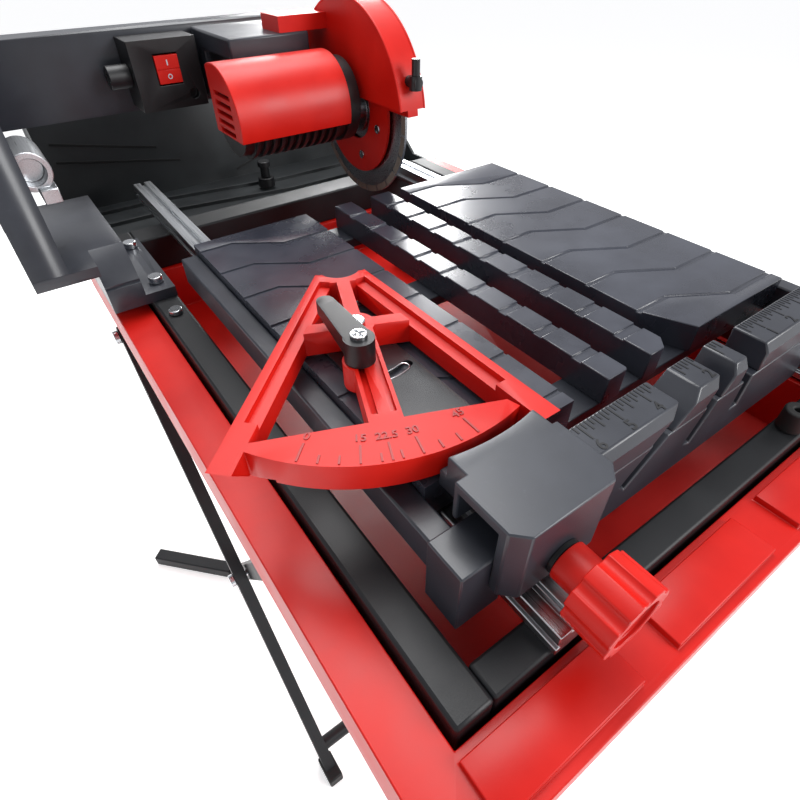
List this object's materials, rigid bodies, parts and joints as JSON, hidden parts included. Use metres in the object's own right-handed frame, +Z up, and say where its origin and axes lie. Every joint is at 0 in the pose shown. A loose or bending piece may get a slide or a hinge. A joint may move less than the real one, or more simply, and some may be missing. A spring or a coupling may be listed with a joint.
{
  "type": "tile cutter",
  "caption": "Wet tile cutter with a sliding slotted table, tilting blade head, side stop with protractor, water tray and folding stand.",
  "frame": {"origin": "centre of the footprint, on the floor under the feet", "axes": "+Z up, +Y from the operator towards the back, +X to the operator's right"},
  "size_m": [0.7526, 0.907, 0.96],
  "materials": {
    "casting": "satin dark blue-grey coating on cast aluminium",
    "steel": "textured dark powder coat on steel tube",
    "red_plastic": "semi-gloss moulded red plastic",
    "aluminium": "extruded, clear anodised",
    "black_plastic": "matte black plastic",
    "rubber": "black rubber",
    "chrome": "zinc plated steel",
    "splash_plastic": "dark grey moulded plastic",
    "blade_steel": "ground steel disc with diamond rim"
  },
  "bodies": {
    "base": {"side_rails": "steel", "cross_tubes": "steel", "guide_rails": "aluminium", "water_tray": "red_plastic", "drain_plug": "rubber", "splash_tray": "splash_plastic", "pump": "black_plastic", "buffers": "rubber", "frame_bolts": "chrome", "column": "casting", "column_sleeve": "aluminium", "column_bolts": "chrome", "cross_beam": "casting", "trunnion_pin": "chrome", "leg_brackets": "steel", "switch_box": "black_plastic", "inlet": "black_plastic"},
    "table": {"deck_left": "casting", "deck_strip_1": "casting", "deck_strip_2": "casting", "deck_right": "casting", "cart_sides": "casting", "cart_beams": "casting", "glide_shoes": "black_plastic", "front_beam": "casting", "ruler": "casting"},
    "stop": {"stop_block": "casting", "stop_tongue": "steel", "pivot_pin": "chrome", "knob_washer": "black_plastic"},
    "protractor": {"protractor": "red_plastic"},
    "lever": {"clamp_lever": "black_plastic", "lever_screw": "chrome"},
    "clamp_knob": {"knob": "red_plastic", "knob_stem": "chrome"},
    "head": {"carrier": "casting", "motor": "black_plastic", "motor_cover": "red_plastic", "guard": "red_plastic", "guard_bolts": "chrome", "nozzle": "black_plastic"},
    "saw_blade": {"blade": "blade_steel", "flanges": "aluminium"},
    "tilt_lock": {"tilt_knob": "black_plastic"},
    "switch": {"rocker": "red_plastic"},
    "legs_outer": {"legs_a": "steel", "tube_a": "steel", "feet_a": "rubber", "leg_bolts": "chrome"},
    "legs_inner": {"legs_b": "steel", "tubes_b": "steel", "feet_b": "rubber", "stabilisers": "steel"}
  },
  "joints": [
    {"name": "table_slide", "type": "slide", "parent": "base", "child": "table", "axis": [0, -1, 0], "range_m": [-0.4, 0]},
    {"name": "stop_slide", "type": "slide", "parent": "table", "child": "stop", "axis": [1, 0, 0], "range_m": [0, 0.045]},
    {"name": "protractor_turn", "type": "hinge", "parent": "stop", "child": "protractor", "pos_m": [-0.1535, -0.1925, 0.78], "axis": [0, 0, 1], "range_deg": [0, 45]},
    {"name": "lever_turn", "type": "hinge", "parent": "protractor", "child": "lever", "pos_m": [-0.17324, -0.22901, 0.795], "axis": [0, 0, 1], "range_deg": [0, 90]},
    {"name": "knob_turn", "type": "hinge", "parent": "stop", "child": "clamp_knob", "pos_m": [-0.1555, -0.3965, 0.758], "axis": [0, 1, 0], "continuous": true},
    {"name": "head_tilt", "type": "hinge", "parent": "base", "child": "head", "pos_m": [0.0115, 0.2435, 0.877], "axis": [0, 1, 0], "range_deg": [0, 45]},
    {"name": "blade_spin", "type": "hinge", "parent": "head", "child": "saw_blade", "pos_m": [0.0415, 0.1055, 0.842], "axis": [1, 0, 0], "continuous": true},
    {"name": "tilt_lock_turn", "type": "hinge", "parent": "base", "child": "tilt_lock", "pos_m": [-0.0505, 0.2935, 0.877], "axis": [0, 1, 0], "continuous": true},
    {"name": "switch_rock", "type": "hinge", "parent": "base", "child": "switch", "pos_m": [-0.1285, 0.2115, 0.883], "axis": [1, 0, 0], "range_deg": [-8, 8]},
    {"name": "stand_fold", "type": "hinge", "parent": "base", "child": "legs_outer", "pos_m": [0, 0.2105, 0.6], "axis": [-1, 0, 0], "range_deg": [0, 49]},
    {"name": "leg_cross", "type": "hinge", "parent": "legs_outer", "child": "legs_inner", "pos_m": [0, -0.0015, 0.3], "axis": [1, 0, 0], "range_deg": [0, 98.2]}
  ],
  "couplings": [
    {"joint": "leg_cross", "follows": "stand_fold", "ratio": 2}
  ]
}
